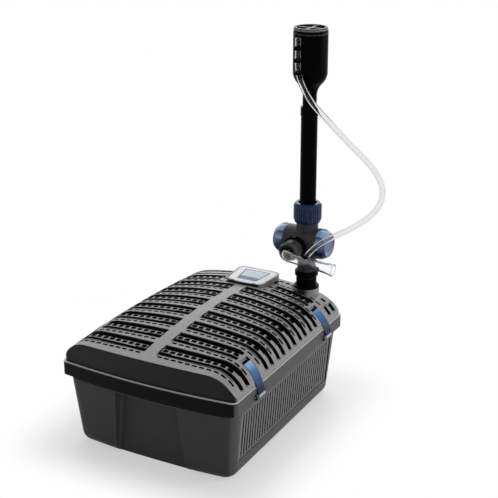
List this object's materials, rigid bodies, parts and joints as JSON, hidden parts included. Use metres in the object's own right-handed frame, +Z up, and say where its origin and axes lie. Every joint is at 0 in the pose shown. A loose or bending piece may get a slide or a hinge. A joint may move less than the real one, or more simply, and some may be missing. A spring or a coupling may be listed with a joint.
{
  "type": "pressurised pond filter",
  "caption": "Submersible pond filter: slotted domed cover clipped on a black tub with pump, UVC lamp and foams, and a swivelling telescopic fountain riser with an air hose.",
  "frame": {"origin": "on the ground, at the middle of the tub's flat underside", "axes": "+X across to the right, -Y towards the front short end, +Z up along the riser"},
  "size_m": [0.3851, 0.385, 0.586],
  "materials": {
    "tub_black": "moulded, fine satin grain",
    "cover_black": "moulded, satin",
    "label_white": "smooth printed plate",
    "clip_blue": "glossy moulded",
    "pin_steel": "drawn stainless",
    "riser_black": "smooth satin",
    "knob_blue": "semi-gloss moulded",
    "insert_grey": "moulded grey",
    "tube_clear": "clear moulded",
    "hose_clear": "clear flexible hose",
    "seal_rubber": "moulded rubber",
    "pump_dark": "moulded",
    "rotor_ferrite": "bonded ferrite",
    "bearing_ceramic": "ceramic",
    "quartz": "clear quartz",
    "lamp_glass": "frosted lamp tube",
    "foam_blue": "open-cell filter foam, coarse",
    "foam_dark": "open-cell filter foam, fine"
  },
  "bodies": {
    "root": {"lower_tub": "tub_black", "upper_cover": "cover_black", "label_plate": "label_white", "clip_pins": "pin_steel", "cable_gland": "riser_black", "riser_socket": "riser_black", "outlet_pipe": "pump_dark", "outlet_seal": "seal_rubber", "pump_housing": "pump_dark", "pump_volute": "pump_dark", "pump_feet": "seal_rubber", "rotor_shaft": "pin_steel", "rotor_bearings": "bearing_ceramic", "uvc_housing": "pump_dark", "uvc_lamp_head": "pump_dark", "uvc_seal": "seal_rubber", "quartz_sleeve": "quartz", "uvc_lamp": "lamp_glass", "uvc_cradles": "pump_dark", "foam_coarse": "foam_blue", "foam_fine": "foam_dark", "media_basket": "pump_dark", "media_rings": "bearing_ceramic"},
    "clip_front_left": {"clip_front_left": "clip_blue"},
    "clip_front_right": {"clip_front_right": "clip_blue"},
    "clip_rear_left": {"clip_rear_left": "clip_blue"},
    "clip_rear_right": {"clip_rear_right": "clip_blue"},
    "rotor": {"impeller": "rotor_ferrite"},
    "distributor": {"swivel_collar": "riser_black", "distributor_body": "riser_black", "port_ring": "riser_black", "port_insert": "insert_grey", "ball_seat": "seal_rubber", "air_mixing_tube": "tube_clear", "hose_nipple": "riser_black", "air_hose_lower": "hose_clear"},
    "knob_left": {"regulator_knob_left": "knob_blue", "valve_plug_left": "insert_grey"},
    "knob_right": {"regulator_knob_right": "knob_blue", "valve_plug_right": "insert_grey"},
    "nut": {"clamp_nut": "knob_blue"},
    "riser": {"riser_pipe": "riser_black"},
    "nozzle": {"nozzle_head": "riser_black", "nozzle_cap": "riser_black", "hose_clips": "riser_black", "air_hose_upper": "hose_clear"}
  },
  "joints": [
    {"name": "clip_front_left_hinge", "type": "hinge", "parent": "root", "child": "clip_front_left", "pos_m": [-0.1456, -0.106, 0.119], "axis": [0, -1, 0], "range_deg": [0, 100]},
    {"name": "clip_front_right_hinge", "type": "hinge", "parent": "root", "child": "clip_front_right", "pos_m": [0.1456, -0.106, 0.119], "axis": [0, 1, 0], "range_deg": [0, 100]},
    {"name": "clip_rear_left_hinge", "type": "hinge", "parent": "root", "child": "clip_rear_left", "pos_m": [-0.1456, 0.116, 0.119], "axis": [0, -1, 0], "range_deg": [0, 100]},
    {"name": "clip_rear_right_hinge", "type": "hinge", "parent": "root", "child": "clip_rear_right", "pos_m": [0.1456, 0.116, 0.119], "axis": [0, 1, 0], "range_deg": [0, 100]},
    {"name": "rotor_spin", "type": "hinge", "parent": "root", "child": "rotor", "pos_m": [0.088, 0.125, 0.045], "axis": [1, 0, 0], "continuous": true},
    {"name": "distributor_swivel", "type": "hinge", "parent": "root", "child": "distributor", "pos_m": [0.088, 0.16, 0.19], "axis": [0, 0, 1], "continuous": true},
    {"name": "regulator_left_turn", "type": "hinge", "parent": "distributor", "child": "knob_left", "pos_m": [0.088, 0.16, 0.25], "axis": [1, 0, 0], "range_deg": [0, 90]},
    {"name": "regulator_right_turn", "type": "hinge", "parent": "distributor", "child": "knob_right", "pos_m": [0.088, 0.16, 0.25], "axis": [1, 0, 0], "range_deg": [0, 90]},
    {"name": "clamp_nut_turn", "type": "hinge", "parent": "distributor", "child": "nut", "pos_m": [0.088, 0.16, 0.3], "axis": [0, 0, 1], "range_deg": [0, 90]},
    {"name": "riser_tilt", "type": "hinge", "parent": "distributor", "child": "riser", "pos_m": [0.088, 0.16, 0.297], "axis": [1, 0, 0], "range_deg": [-8, 8]},
    {"name": "nozzle_slide", "type": "slide", "parent": "riser", "child": "nozzle", "axis": [0, 0, 1], "range_m": [0, 0.09]}
  ]
}
